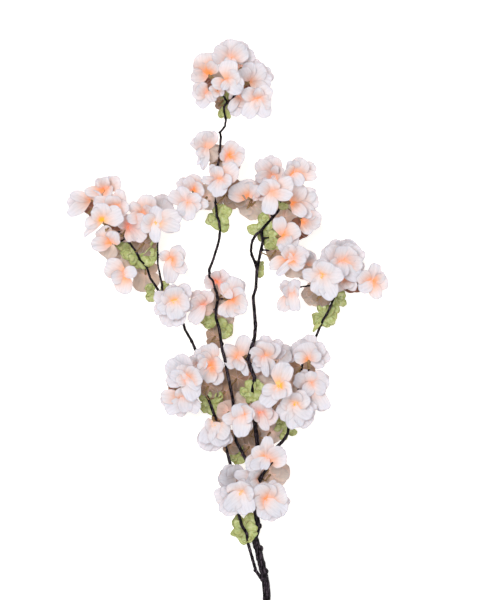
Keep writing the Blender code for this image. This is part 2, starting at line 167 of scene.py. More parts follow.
# Blossoms that have no solid: the blossom they lie beside, and their heart from its heart. Those of
# the brown kind are dark sheets of painted shade in the gaps, and the backs of those of the pale kind
# are painted shade
COMPANIONS = {
    "top_low": ("top_5", (-22, 3, -16), lying((330, 14), (20, 12), (120, 9), near=((262, 22, 12),
        (235, 18, 9)))),
    "top_brown": ("top_4", (16, -6, -18), lying((222, -9), (268, -11), (310, -14), (0, -14), (90, -12),
        dye="pale")),
    "top_small": ("top_3", (-11, -9, -9), lying((188, 9, 9), (335, 8, 9), (250, 9, 8), faint=0.12)),
    "top_fold": ("top_3", (15, 18, -33), lying((60, -9), (150, -9), (240, -9), (320, -9), dye="salmon")),
    "top_gap": ("top_2", (-4, -10, -10), lying((200, -11), (330, -11), (90, -9), (270, -8), dye="brown")),
    "top_hole": ("top_6", (4, -6, -14), lying((0, -12), (90, -11), (180, -12), (270, -11), dye="brown")),
    "upper_back": ("upper_1", (11, -8, -12), lying((80, -15), (110, -15), (275, -15), (310, -13))),
    "upper_low": ("upper_2", (0, -8, -12), lying((330, -14), (280, -13), (210, -11), dye="pale")),
    "centre_left": ("centre_2", (7, 15, -8), lying((160, 20, 14), (125, 16, 14), (80, 17, 19), (20, 12))),
    "centre_below": ("centre_1", (-13, -16, -16), lying((155, -15), (205, -12), (255, -15), (310, -13),
        (80, -14), (30, -14))),
    "centre_beside": ("centre_1", (17, -12, -14), lying((0, -15), (320, -17), (60, -15), (255, -18),
        (180, -12), (290, -17), dye="pale")),
    "centre_under": ("centre_3", (4, -6, -12), lying((210, -16), (250, -18), (285, -19), (330, -16))),
    "right_top_low": ("right_top_4", (13, -19, -3), lying((300, 18, 13), (35, 19, 16), (328, 20, 16),
        (0, 21, 17))),
    "right_top_middle": ("right_top_1", (8, -10, -6), lying((150, 13), (10, 14), (310, 17), (240, 16),
        (80, 12), (200, 19), dye="salmon")),
    "right_top_back": ("right_top_4", (-6, -16, -22), lying((200, -22), (235, -24), (275, -27), (310, -25),
        (10, -20), (90, -20))),
    "right_top_shade": ("right_top_5", (-6, -16, -5), lying((270, -13), (330, -15), (60, -13), (110, -15),
        (200, -11), dye="pale")),
    "right_top_gap": ("right_top_5", (19, 9, -12), lying((0, -13), (90, -12), (200, -12), (290, -13),
        dye="brown")),
    "right_top_streak": ("centre_3", (15, 7, -6), lying((60, 15, 13), (130, 13, 13), (350, 15, 12),
        (215, 14, 8), (285, 12, 11), dye="salmon")),
    "right_high": ("right_2", (0, 6, -12), lying((92, 21), (130, 23), (48, 24), (172, 20), faint=0.3)),
    "right_low": ("right_2", (2, -13, -8), lying((345, 16), (318, 20, 13), (280, 16, 14), (220, 18))),
    "right_gap": ("right_2", (14, -22, -20), lying((0, -13), (180, -12), (90, -12), (280, -10),
        dye="brown")),
    "right_left": ("right_1", (-17, 12, -18), lying((150, 12), (60, 16), (100, 13), (240, -16), (200, -12),
        (280, -13), faint=0.2)),
    "right_under": ("right_1", (0, -20, -22), lying((240, -11), (280, -13), (320, -14), (10, -14),
        (164, -17, 9), (205, -13, 9), dye="pale")),
    "left_gap": ("left_2", (2, -8, -8), lying((240, -10), (350, -12), (300, -10), (90, -8), dye="brown")),
    "left_high": ("left_3", (13, 15, -8), lying((0, 15), (100, 14), (55, 20, 16), (160, 25, 18))),
    "left_middle": ("left_5", (-30, -2, -14), lying((110, 12), (10, 21, 16), (325, 26, 14), (290, 20, 14),
        (160, 12), dye="salmon", faint=0.08)),
    "left_hollow": ("left_5", (-33, -8, -22), lying((40, -13), (150, -12), (270, -13), (330, -12),
        dye="salmon")),
    "left_hole": ("left_1", (-3, -6, -10), lying((20, -11), (140, -11), (260, -11))),
    "left_line": ("left_3", (8, -4, -10), lying((335, -11, 7), (160, -6, 6), (270, -5, 8), dye="brown")),
    "left_behind": ("left_5", (3, 8, -22), lying((75, 24), (100, 20), (40, 20), dye="pale")),
    "left_under": ("left_6", (12, 8, -16), lying((200, -20), (260, -20), (320, -17), (130, -18))),
    "left_edge": ("left_6", (-3, -4, -14), lying((230, -13), (290, -16), (340, -20), (180, -12))),
    "left_deep": ("left_5", (-13, -22, -20), lying((270, -15), (200, -14), (330, -14), (90, -14),
        dye="pale")),
    "left_inner": ("left_7", (9, 15, -14), lying((90, -20), (150, -17), (30, -17), (330, -15), (210, -14))),
    "middle_high": ("middle_3", (-15, 19, -2), lying((95, 12, 10), (45, 16, 14), (160, 15, 11),
        (205, 15, 11), (314, 24, 11), dye="salmon")),
    "middle_back": ("middle_3", (-9, 6, -14), lying((90, -15), (180, -13), (0, -12), (270, -16),
        (225, -15))),
    "middle_under": ("middle_3", (-11, -12, -18), lying((200, -16), (250, -20), (290, -21), (330, -17))),
    "lower_left": ("lower_3", (-4, -22, -8), lying((168, 26, 15), (60, 12), (110, 12), near=((222, 25, 18),
        (328, 22, 16), (268, 16, 15)), behind=((185, 26), (255, 21)))),
    "lower_middle": ("lower_4", (20, 5, -8), lying((350, 16), (320, 12), (30, 13), dye="pale")),
    "lower_point": ("lower_8", (-1, -9, -6), lying((308, 26, 15), (340, 18), (255, 15), (215, 14),
        faint=0.28)),
    "lower_right": ("lower_9", (20, 2, -11), lying((330, 20, 18), (20, 14), (200, 10), (90, 14),
        near=((290, 21, 10),), dye="salmon")),
    "bottom_left": ("bottom_2", (-7, 17, -8), lying((150, 18), (187, 18), (205, 19), (110, 14), dye="pale",
        faint=0.4)),
    "bottom_high": ("bottom_2", (17, 16, -3), lying((140, 12), (215, 13), (168, 26, 13), faint=0.25)),
    "bottom_gap": ("bottom_2", (-5, 12, -14), lying((0, -13), (120, -12), (240, -12))),
    "bottom_inner": ("bottom_1", (2, -12, -12), lying((0, -11), (120, -11), (240, -11))),
    "bottom_shade": ("bottom_1", (4, -17, -14), lying((15, -22), (340, -20), (200, -15), (285, -10),
        (45, -14))),
    "under_1": ("lower_3", (41, -15, -26), lying((30, -20), (100, -20), (170, -19), (240, -20), (310, -20),
        dye="pale")),
    "under_2": ("lower_2", (-3, -24, -16), lying((0, -20), (72, -19), (144, -20), (216, -20), (288, -20),
        dye="pale")),
    "under_3": ("lower_5", (-8, -8, -20), lying((180, -17), (240, -20), (300, -17), (0, -17), dye="pale")),
    "under_4": ("lower_9", (14, -17, -34), lying((10, -17), (250, -20), (170, -18), (300, -19),
        dye="pale")),
    "under_5": ("bottom_1", (-19, 13, -30), lying((30, -17), (100, -19), (170, -15), (310, -18), (230, -15),
        dye="pale")),
    "under_6": ("middle_2", (14, -33, -16), lying((90, -16), (200, -10), (260, -14), (40, -13),
        dye="pale")),
    "under_7": ("lower_6", (-4, -20, -34), lying((200, -20), (260, -22), (310, -19), (150, -17),
        dye="pale")),
    "under_8": ("lower_6", (-15, -6, -18), lying((90, -19), (160, -17), (220, -19), (280, -17), (20, -14))),
    "under_9": ("lower_3", (23, -9, -14), lying((100, -15), (20, -15), (280, -15), (200, -11), dye="pale")),
    "under_10": ("lower_8", (-9, -9, -14), lying((90, -14), (180, -13), (250, -14), (330, -14),
        dye="pale")),
    "under_11": ("lower_7", (-26, -32, -22), lying((30, -14), (100, -16), (170, -15), (250, -12),
        (310, -14))),
    "under_12": ("lower_10", (18, -21, -18), lying((30, -15), (330, -13), (150, -12), (270, -13), (90, -15),
        dye="pale")),
    "under_13": ("lower_9", (8, 13, -16), lying((100, -14), (30, -15), (160, -17), (320, -13))),
    "under_15": ("lower_6", (9, 3, -20), lying((60, -13), (330, -14), (180, -12), (250, -16), (110, -12))),
    "under_16": ("lower_6", (-3, -2, -26), lying((125, -20), (300, -19), (200, -18), (30, -17),
        (255, -18))),
    "under_17": ("lower_2", (8, 2, -12), lying((0, -13), (180, -10), (270, -14), (90, -12))),
    "centre_fill": ("centre_3", (9, -3, -15), lying((40, -12), (160, -12), (280, -12))),
    "under_18": ("lower_4", (13, -4, -16), lying((0, -12), (120, -12), (240, -13))),
    "lower_inner": ("lower_9", (-14, 3, -18), lying((100, -13), (180, -14), (255, -14), (0, -12),
        dye="salmon")),
    "lower_fill": ("lower_10", (6, 4, -16), lying((40, -10), (310, -9), (170, -8), dye="pale")),
    "lower_join": ("lower_3", (11, 15, -22), lying((75, 12, 13), (120, 12, 12), (250, 12), (330, 10),
        faint=0.3)),
    "centre_line": ("centre_1", (6, -15, -14), lying((90, -9), (270, -8), (0, -8), (180, -9), dye="pale")),
    "lower_gap": ("lower_3", (-13, -12, -16), lying((180, -9), (270, -9), (0, -9), (90, -9), dye="brown")),
    "under_14": ("lower_2", (16, -18, -14), lying((20, -16), (330, -16), (280, -15), (100, -14))),
}

# How the leaves of each calyx lie, as for petals
CALYCES = {
    "top": ((63, 26, 10), (85, 15, 9), (288, 14, 8), (240, 12, 8)),
    "centre": ((160, 15, 13), (95, 22, 12), (58, 20, 13), (312, 14, 12), (225, 10, 12), (10, 11, 12)),
    "right_top": ((82, 18, 12), (194, 18, 12), (323, 16, 16), (290, 28, 12), (262, 15, 13), (20, 12, 12),
        (140, 8, 10)),
    "right": ((188, 14, 14), (355, 14, 15), (305, 11, 14), (95, 18, 12), (55, 16, 13), (225, 19, 5),
        (240, 10, 13)),
    "left": ((165, 20, 13), (122, 17, 12), (255, 13, 12), (200, 13, 12), (352, 21, 18), (312, 16, 15),
        (30, 23, 13), (46, 31, 8)),
    "lower": ((132, 15, 11), (228, 13, 12), (40, 17, 12), (85, 16, 10), (5, 14, 12), (288, 16, 11),
        (180, 9, 11)),
    "bottom": ((127, 23, 13), (80, 22, 14), (46, 14, 13), (168, 17, 12), (234, 13, 15), (325, 11, 14),
        (275, 10, 13)),
}

# Calyces that have no solid: the calyx they lie beside, and their middle from its middle
EXTRA_CALYCES = {
    "right_top_small": ("right_top", (-5, -44, 2), ((75, 8, 8), (285, 11, 8), (0, 6, 7))),
    "right_top_high": ("right_top", (17, 29, 2), ((65, 9, 12), (155, 9, 11), (320, 12, 10), (0, 11, 10))),
    "right_top_fold": ("right_top", (9, -13, 10), ((262, 12, 12), (320, 14, 11), (75, 10, 12))),
    "right_high": ("right", (14, 16, 2), ((72, 16, 13), (245, 11, 11), (15, 10, 11), (150, 7, 9))),
    "left_far": ("left", (-25, 19, -2), ((145, 20, 9), (320, 17, 13), (5, 14, 10), (280, 9, 9))),
    "left_low": ("left", (27, -34, 0), ((60, 8, 9), (0, 7, 8), (270, 7, 8))),
    "left_pale": ("left", (15, -39, -6), ((110, 10, 12), (255, 11, 12), (180, 7, 10))),
    "middle": ("lower", (0, 90, 4), ((165, 12, 12), (112, 13, 11), (30, 10, 10), (235, 9, 10),
        (320, 8, 9))),
    "middle_right": ("lower", (15, 80, 2), ((0, 11, 13), (290, 10, 12), (102, 14, 10))),
    "lower_centre": ("lower", (46, 10, 19), ((165, 14, 10), (52, 18, 13), (97, 16, 12), (275, 10, 14),
        (345, 11, 12), (215, 9, 11))),
    "lower_right": ("bottom", (42, 113, 2), ((168, 14, 12), (115, 15, 12), (58, 15, 13), (262, 11, 9),
        (350, 14, 8), (10, 9, 11))),
    "lower_shade": ("bottom", (-10, 85, 0), ((118, 20, 13), (90, 16, 11), (290, 10, 12), (200, 9, 10))),
}

# Twigs that have no solid: the solid they start by, and their points from its middle with their radii
TWIGS = {
    "shoot": ("calyx_right_top", (((-6.5, -41.5, 6.6), 1.2), ((-11, -34.5, 7.6), 1.5),
        ((-13.8, -26, 8), 1.5), ((-13.2, -19, 8), 1.5), ((-12, -14, 7.5), 1.6), ((-8, -7.5, 6), 1.6),
        ((-2, -3, 2), 1.5))),
    "middle": ("blossom_middle_3", (((-21.5, 38, -7), 1.3), ((-24, 32, 6), 1.4), ((-23.6, 24, 11), 1.3),
        ((-19.6, 20, 12), 1.2), ((-17.6, 12, 10), 1.3), ((-15.4, 6, 3), 1.4), ((-13.4, -1, -7), 1.3))),
    "top": ("calyx_top", (((4.5, 4, 1), 1.3), ((10, 11, 7), 1.2), ((14, 15, 11), 1.0))),
    "knot": ("blossom_bottom_1", (((-11, -29, -18), 2.2), ((-8.5, -24, -12), 3.0), ((-5, -17, -3), 1.9),
        ((3, -6, 6), 1.3), ((6, -3, 8), 0.9))),
}

# Dye of each kind of petal, from its heart to its tip, and the colour of its back. The brown kind is
# no dye but painted shade, dark sheets for the gaps between blossoms, and the back of the pale kind is
# painted shade for the backs of blossoms deep in the spray
DYES_AND_PAINTED_SHADE = {
    "peach": ((0.0, "#FF9438"), (0.09, "#FF9A4E"), (0.2, "#FFAC7C"), (0.34, "#FFC9B2"),
              (0.52, "#FBDFD9"), (0.74, "#F2E9EC"), (1.0, "#E8E5EE")),
    "salmon": ((0.0, "#FF8A3E"), (0.1, "#FF8E62"), (0.24, "#FFA78A"), (0.42, "#FDC6B8"),
               (0.64, "#F7DEDA"), (1.0, "#ECE4EA")),
    "yellow": ((0.0, "#FFC21E"), (0.1, "#FFB636"), (0.17, "#FFBA78"), (0.3, "#FFD0BA"),
               (0.48, "#FBE3DE"), (0.72, "#F3EAED"), (1.0, "#E8E5EE")),
    "pale": ((0.0, "#EBA47E"), (0.12, "#EBBEAA"), (0.28, "#E4CFC8"), (0.5, "#DDD4D5"), (1.0, "#D8D4DC")),
    # painted shade: no dye of the real blossoms, but a dark brown for the gaps between them
    "brown": ((0.0, "#A8603A"), (0.4, "#A37A60"), (1.0, "#A08A7C")),
}
# the pale and brown backs are painted shade, darker than the back of the cloth
BACKS = {"peach": "#D3BFB2", "salmon": "#DDBDAF", "yellow": "#DCC8BE", "pale": "#9C8066", "brown": "#80503A"}


def linear(colour):
    """An sRGB hex colour as a shader's linear value."""
    channels = [int(colour[place:place + 2], 16) / 255.0 for place in (1, 3, 5)]
    return [c / 12.92 if c <= 0.04045 else ((c + 0.055) / 1.055) ** 2.4 for c in channels] + [1.0]


def set_inputs(tree, node, inputs):
    """Gives a node's inputs their values, or links them to the outputs given."""
    for name, value in inputs.items():
        if isinstance(value, bpy.types.NodeSocket):
            tree.links.new(value, node.inputs[name])
        else:
            node.inputs[name].default_value = value


def add_node(tree, kind, settings=None, inputs=None):
    node = tree.nodes.new(kind)
    for name, value in (settings or {}).items():
        setattr(node, name, value)
    set_inputs(tree, node, inputs or {})
    return node


def set_stops(ramp, stops):
    elements = ramp.color_ramp.elements
    while len(elements) > 1:
        elements.remove(elements[-1])
    elements[0].position = stops[0][0]
    elements[0].color = linear(stops[0][1])
    for place, colour in stops[1:]:
        elements.new(place).color = linear(colour)


def new_material(name, constants):
    material = bpy.data.materials.new(name)
    material.use_nodes = True
    shader = material.node_tree.nodes["Principled BSDF"]
    set_inputs(material.node_tree, shader, constants)
    return material, material.node_tree, shader


def fine_lines(tree, place, scale, detail, roughness):
    """Streaks across a surface: noise that is stretched along one of its directions."""
    stretched = add_node(tree, "ShaderNodeMapping", inputs={"Vector": place, "Scale": scale})
    lines = add_node(tree, "ShaderNodeTexNoise", inputs={
        "Vector": stretched.outputs["Vector"], "Scale": 1.0, "Detail": detail, "Roughness": roughness})
    return lines.outputs["Fac"]


def petal_cloth(dye):
    """Woven polyester, heat-pressed and dyed from the heart out: matt, thin enough to let light through,
    with a painted glow at the heart and painted shade at its edges and in its creases
    """
    material, tree, shader = new_material("pressed_polyester_" + dye, {
        "Roughness": 0.85, "Sheen Weight": 0.15, "Sheen Roughness": 0.5, "Specular IOR Level": 0.2,
        "Subsurface Weight": 0.25, "Subsurface Scale": 0.0015, "Subsurface Radius": (1.0, 0.7, 0.6)})
    place = add_node(tree, "ShaderNodeTexCoord")
    along, rim, under, tone = (
        add_node(tree, "ShaderNodeAttribute", {"attribute_name": name}).outputs["Fac"]
        for name in ("along", "rim", "under", "tone"))

    # the dye bleeds out in clouds of about 6 mm
    cloud = add_node(tree, "ShaderNodeTexNoise", inputs={
        "Vector": place.outputs["Object"], "Scale": 170.0, "Detail": 2.0})
    spread = add_node(tree, "ShaderNodeMath", {"operation": "MULTIPLY_ADD"}, {
        0: cloud.outputs["Fac"], 1: 0.22, 2: along})
    dyed = add_node(tree, "ShaderNodeMath", {"operation": "SUBTRACT"}, {0: spread.outputs["Value"], 1: 0.11})
    ramp = add_node(tree, "ShaderNodeValToRGB", inputs={"Fac": dyed.outputs["Value"]})
    set_stops(ramp, DYES_AND_PAINTED_SHADE[dye])
    shade = ramp.outputs["Color"]

    back = add_node(tree, "ShaderNodeMath", {"operation": "MULTIPLY"}, {0: under, 1: 0.85})
    painted_edge_shade = add_node(tree, "ShaderNodeMapRange", inputs={
        "Value": rim, "From Min": 0.9, "From Max": 1.0, "To Min": 0.0, "To Max": 0.55})
    for share, colour in (
        (tone, "#E9E4EC"),                       # each petal is a little cooler or warmer than the next
        (back.outputs["Value"], BACKS[dye]),     # the back took less dye and has a dusty cast; the pale and brown backs are painted shade
        (painted_edge_shade.outputs["Result"], "#BDB6C0"),     # painted shade: an edge about 1 mm wide is a little darker, for the lines where petals overlap
    ):
        mixed = add_node(tree, "ShaderNodeMix", {"data_type": "RGBA"}, {
            0: share, 6: shade, 7: linear(colour)})
        shade = mixed.outputs[2]

    # creases 2 mm apart are pressed from the heart to the tip, with painted shade in them and a
    # little painted light between them
    weave_place = add_node(tree, "ShaderNodeUVMap", {"uv_map": "weave"}).outputs["UV"]
    crease = fine_lines(tree, weave_place, (520.0, 60.0, 1.0), 3.0, 0.6)
    gathered = add_node(tree, "ShaderNodeMapRange", inputs={
        "Value": crease, "From Min": 0.3, "From Max": 0.7, "To Min": 0.87, "To Max": 1.02})
    creased = add_node(tree, "ShaderNodeVectorMath", {"operation": "SCALE"}, {
        0: shade, "Scale": gathered.outputs["Result"]})

    # painted light: the heart glows a little, so that it does not go dark in its own shade
    glow = add_node(tree, "ShaderNodeMapRange", inputs={
        "Value": dyed.outputs["Value"], "From Min": 0.0, "From Max": 0.34, "To Min": 0.3, "To Max": 0.0})

    # the real threads are 0.15 mm apart, too fine to show, so the weave is drawn coarser
    warp, weft = (
        add_node(tree, "ShaderNodeTexWave", {"bands_direction": direction}, {
            "Vector": weave_place, "Scale": 0.314 / (THREAD * MM)}).outputs["Fac"]
        for direction in ("X", "Y"))
    threads = add_node(tree, "ShaderNodeMath", {"operation": "MULTIPLY"}, {0: warp, 1: weft})
    woven = add_node(tree, "ShaderNodeBump", inputs={
        "Strength": 0.25, "Distance": 0.06 * MM, "Height": threads.outputs["Value"]})
    pressed = add_node(tree, "ShaderNodeBump", inputs={
        "Strength": 0.7, "Distance": 0.8 * MM, "Height": crease, "Normal": woven.outputs["Normal"]})
    set_inputs(tree, shader, {
        "Base Color": creased.outputs["Vector"], "Emission Color": creased.outputs["Vector"],
        "Emission Strength": glow.outputs["Result"], "Normal": pressed.outputs["Normal"]})
    return material


def calyx_cloth():
    """Woven polyester dyed leaf green: matt, with veins, and painted shade in the throat and along the
    edges.
    """
    material, tree, shader = new_material("pressed_polyester_green", {
        "Roughness": 0.85, "Sheen Weight": 0.1, "Sheen Roughness": 0.5, "Specular IOR Level": 0.2,
        "Subsurface Weight": 0.1, "Subsurface Scale": 0.001})
    place = add_node(tree, "ShaderNodeTexCoord")
    along, rim, under, tone = (
        add_node(tree, "ShaderNodeAttribute", {"attribute_name": name}).outputs["Fac"]
        for name in ("along", "rim", "under", "tone"))
    cloud = add_node(tree, "ShaderNodeTexNoise", inputs={
        "Vector": place.outputs["Object"], "Scale": 260.0, "Detail": 4.0, "Roughness": 0.6})
    mottle = add_node(tree, "ShaderNodeValToRGB", inputs={"Fac": cloud.outputs["Fac"]})
    set_stops(mottle, ((0.3, "#A6B068"), (0.5, "#CAD392"), (0.7, "#E4EABC")))
    shade = mottle.outputs["Color"]

    darker = add_node(tree, "ShaderNodeMath", {"operation": "MULTIPLY"}, {0: tone, 1: 0.6})
    painted_throat_shade = add_node(tree, "ShaderNodeMapRange", inputs={
        "Value": along, "From Min": 0.0, "From Max": 0.35, "To Min": 0.5, "To Max": 0.0})
    back = add_node(tree, "ShaderNodeMath", {"operation": "MULTIPLY"}, {0: under, 1: 0.6})
    painted_edge_shade = add_node(tree, "ShaderNodeMapRange", inputs={
        "Value": rim, "From Min": 0.78, "From Max": 1.0, "To Min": 0.0, "To Max": 0.7})
    for share, colour in (
        (darker.outputs["Value"], "#9AA05E"),    # some leaves took more dye than others
        (painted_throat_shade.outputs["Result"], "#8A8C4E"),   # painted shade, darker in the throat
        (back.outputs["Value"], "#A8A97C"),      # and greyer on the back
        (painted_edge_shade.outputs["Result"], "#84864C"),     # painted shade along the edge, for the dark lines between the leaves
    ):
        mixed = add_node(tree, "ShaderNodeMix", {"data_type": "RGBA"}, {
            0: share, 6: shade, 7: linear(colour)})
        shade = mixed.outputs[2]

    weave_place = add_node(tree, "ShaderNodeUVMap", {"uv_map": "weave"}).outputs["UV"]
    vein = fine_lines(tree, weave_place, (600.0, 120.0, 1.0), 3.0, 0.6)
    pressed = add_node(tree, "ShaderNodeBump", inputs={
        "Strength": 0.7, "Distance": 0.5 * MM, "Height": vein})
    set_inputs(tree, shader, {"Base Color": shade, "Normal": pressed.outputs["Normal"]})
    return material


def moulded_bark():
    """Polyethylene moulded over wire: near-black, with grey-purple ridges that run up the stem; their
    grey-purple is partly the bark's own and partly painted highlight.
    """
    material, tree, shader = new_material("moulded_polyethylene_bark", {"Specular IOR Level": 0.06})
    place = add_node(tree, "ShaderNodeTexCoord")
    near = add_node(tree, "ShaderNodeAttribute", {"attribute_name": "near_blossom"})

    # ridges 1 mm across and about 8 mm long, their grey-purple partly painted highlight
    ridge = fine_lines(tree, place.outputs["Object"], (1000.0, 120.0, 1000.0), 4.0, 0.65)
    ramp = add_node(tree, "ShaderNodeValToRGB", inputs={"Fac": ridge})
    set_stops(ramp, ((0.42, "#020202"), (0.51, "#141014"), (0.62, "#5A4E58")))

    # the twigs turn brown just before a blossom
    browned = add_node(tree, "ShaderNodeMix", {"data_type": "RGBA"}, {
        0: near.outputs["Fac"], 6: ramp.outputs["Color"], 7: linear("#6E4A30")})
    dull = add_node(tree, "ShaderNodeMapRange", inputs={
        "Value": ridge, "From Min": 0.3, "From Max": 0.8, "To Min": 0.45, "To Max": 0.75})
    rough = add_node(tree, "ShaderNodeBump", inputs={
        "Strength": 0.8, "Distance": 0.3 * MM, "Height": ridge})
    set_inputs(tree, shader, {
        "Base Color": browned.outputs[2], "Roughness": dull.outputs["Result"],
        "Normal": rough.outputs["Normal"]})
    return material


def moulded_plastic(name, dark, pale, scale, detail, depth, constants):
    """Moulded polyethylene in two tones, with a grain that is depth millimetres deep."""
    material, tree, shader = new_material("moulded_polyethylene_" + name, constants)
    place = add_node(tree, "ShaderNodeTexCoord")
    grain = add_node(tree, "ShaderNodeTexNoise", inputs={
        "Vector": place.outputs["Object"], "Scale": scale, "Detail": detail})
    ramp = add_node(tree, "ShaderNodeValToRGB", inputs={"Fac": grain.outputs["Fac"]})
    set_stops(ramp, ((0.3, dark), (0.7, pale)))
    rough = add_node(tree, "ShaderNodeBump", inputs={
        "Strength": 0.4, "Distance": depth * MM, "Height": grain.outputs["Fac"]})
    set_inputs(tree, shader, {"Base Color": ramp.outputs["Color"], "Normal": rough.outputs["Normal"]})
    return material


def stamen_plastic(name, dark, pale):
    """Stamens with flocked heads, which have a little painted glow, like the heart round them."""
    return moulded_plastic("stamen_" + name, dark, pale, 900.0, 2.0, 0.1, {
        "Roughness": 0.55, "Emission Strength": 0.3, "Emission Color": linear(dark)})


def add_object(name, data):
    thing = bpy.data.objects.new(name, data)
    bpy.context.scene.collection.objects.link(thing)
    return thing


class Cloth:
    """Points, faces and their values, gathered for one piece."""

    def __init__(self):
        self.count = 0
        self.points = []
        self.faces = []
        self.slots = []
        self.values = {"along": [], "rim": [], "under": [], "tone": []}
        self.weave = []

    def add(self, points, faces, slot, weave=None, **values):
        size = len(points)
        self.points.append(np.asarray(points, float))
        self.faces += [tuple(int(corner) + self.count for corner in face) for face in faces]
        self.slots += [slot] * len(faces)
        for name, gathered in self.values.items():
            gathered.append(np.broadcast_to(np.asarray(values.get(name, 0.0), float), (size,)))
        self.weave.append(np.zeros((size, 2)) if weave is None else weave)
        self.count += size

    def make(self, name, materials):
        """The gathered points, in metres in the frame, as an object at the origin."""
        points = np.concatenate(self.points)
        points[:, 2] = np.maximum(points[:, 2], LEAST_HEIGHT * MM)
        mesh = bpy.data.meshes.new(name)
        mesh.from_pydata(points.tolist(), [], self.faces)
        for attribute, gathered in self.values.items():
            layer = mesh.attributes.new(attribute, "FLOAT", "POINT")
            layer.data.foreach_set("value", np.concatenate(gathered).astype(np.float32))
        corners = np.empty(len(mesh.loops), np.int32)
        mesh.loops.foreach_get("vertex_index", corners)
        layer = mesh.uv_layers.new(name="weave")
        layer.data.foreach_set("uv", np.concatenate(self.weave)[corners].astype(np.float32).ravel())
        for material in materials:
            mesh.materials.append(material)
        mesh.polygons.foreach_set("material_index", np.array(self.slots, np.int32))
        mesh.shade_smooth()
        mesh.set_sharp_from_angle(angle=math.radians(60))
        mesh.update()
        return add_object(name, mesh)


def petal_grid(count):
    """Points of a round-cornered square: x across the petal, y from its heart to its tip, and how
    near each is to the rim."""
    line = np.linspace(-1.0, 1.0, count)
    across, along = np.meshgrid(line, line)
    rounding = 0.43
    x = across * np.sqrt(1.0 - rounding * along ** 2)
    y = along * np.sqrt(1.0 - rounding * across ** 2)
    return x, y, np.maximum(np.abs(across), np.abs(along))


def shell_faces(count):
    """Faces of a closed shell: a grid, the same grid behind it, and the wall between them."""
    index = np.arange(count * count).reshape(count, count)
    front = [(index[i, j], index[i + 1, j], index[i + 1, j + 1], index[i, j + 1])
             for i in range(count - 1) for j in range(count - 1)]
    behind = count * count
    back = [tuple(corner + behind for corner in reversed(face)) for face in front]
    loop = list(index[:, 0]) + list(index[-1, 1:]) + list(index[-2::-1, -1]) + list(index[0, -2:0:-1])
    wall = [(b, a, a + behind, b + behind) for a, b in zip(loop, loop[1:] + loop[:1])]
    return front + back + wall


GRID = petal_grid(PETAL_GRID)
SHELL = shell_faces(PETAL_GRID)


def smooth_step(value):
    value = np.clip(value, 0.0, 1.0)
    return value * value * (3.0 - 2.0 * value)


def turned(first, second, angle):
    """Two coordinates, turned by an angle in their plane."""
    return first * np.cos(angle) - second * np.sin(angle), first * np.sin(angle) + second * np.cos(angle)


def any_phase(dice):
    """Where a wave starts, in radians."""
    return dice.uniform(0, 6.28)


def slopes(lifts, steps):
    """Slope of a petal at steps from its heart, 0, to its tip, 1, in radians."""
    return np.radians(lifts[0] + (lifts[1] - lifts[0]) * steps ** 1.2)


def pressed_petal(cloth, turn, place, length, width, lifts, curl, ruffle, tone, dice,
                  thickness, claw, notch, lobed, bare):
    """One petal along +X of turn, opening to its +Z, in millimetres and degrees.

    lifts are its slope at the heart and at the tip, and curl is how far its sides bend up. claw is
    how wide it is at the heart, over its width. notch and lobed are how deep the notch at its tip
    and its lobes are, over its length. bare is how much of the dye at its heart is missing.
    """
    x, y, rim = GRID
    around = np.arctan2(x, y)
    share = (y + 1.0) / 2.0

    # the outline: a notch at the tip, uneven scallops, and a narrower claw at the heart
    dent = notch * np.exp(-(x / NOTCH_WIDTH) ** 2) * share ** 8
    uneven = 0.03 * np.sin(3.0 * around + any_phase(dice)) + 0.01 * np.sin(7.0 * around + any_phase(dice))
    uneven = (uneven + lobed * np.cos(3.0 * around + any_phase(dice))) * rim ** 3
    share = share * (1.0 - dent + uneven * share)
    across = x * (1.0 + uneven) * (claw + (1.0 - claw) * smooth_step(share / 0.6)) * width / 2.0

    # the middle line, summed up from its slope to a little past the tip
    steps = np.linspace(0.0, 1.1, SLOPE_STEPS)
    slope = slopes(lifts, steps)
    run, rise = (
        np.concatenate(([0.0], np.cumsum(part(slope[:-1]) * np.diff(steps)))) * length
        for part in (np.cos, np.sin))
    lean, out, up = (np.interp(share, steps, line) for line in (slope, run, rise))

    # the sides bend up on an arc
    bend = math.radians(curl) * across / (width / 2.0) * smooth_step(share * 1.6 + 0.2)
    side = across * np.sinc(bend / math.pi)
    lift = (1.0 - np.cos(bend)) * (width / 2.0) / math.radians(curl)

    # waves round the rim, ripples between them, pressed ribs and a groove down the middle
    waves = dice.choice((3, 4, 5))
    lift = lift + ruffle * rim ** 3 * np.sin(waves * around + any_phase(dice)) * smooth_step(share * 2)
    lift = lift + 0.25 * ruffle * rim ** 2 * np.sin(8.0 * around + any_phase(dice)) * share
    phase = any_phase(dice)
    ribs = np.sin(x * 9.0 + 0.8 * np.sin(share * 5.0 + phase) + phase)
    lift = lift + RIB * ribs * smooth_step(share * 1.5)
    lift = lift - GROOVE * np.exp(-(across / GROOVE_WIDTH) ** 2) * share * (1.0 - share)

    # a twist round the middle line, and a lean to one side
    twist = math.radians(dice.uniform(-14, 14)) * share ** 1.5
    side, raised = turned(side, np.cos(lean) * lift, twist)
    lean_aside = math.radians(dice.uniform(-7, 7)) * share
    out, side = turned(out - np.sin(lean) * lift, side, lean_aside)
    points = np.stack((out, side, up + raised), axis=-1)

    normal = np.cross(np.gradient(points, axis=0), np.gradient(points, axis=1))
    normal /= np.maximum(np.linalg.norm(normal, axis=-1, keepdims=True), 1e-9)
    both = np.concatenate((points.reshape(-1, 3), (points - normal * thickness).reshape(-1, 3)))
    weave = np.stack((x.ravel() * width / 2.0, (share * length).ravel()), axis=-1) * MM
    cloth.add(
        (np.array(turn) @ both.T).T * MM + np.array(place), SHELL, 0, weave=np.tile(weave, (2, 1)),
        along=np.tile((share + bare + 0.1 * np.abs(x) * (1.0 - share)).ravel(), 2),
        rim=np.tile(rim.ravel(), 2), under=np.repeat((0.0, 1.0), x.size), tone=tone,
    )


def pointing(azimuth):
    return Vector((math.cos(math.radians(azimuth)), math.sin(math.radians(azimuth)), 0.0))


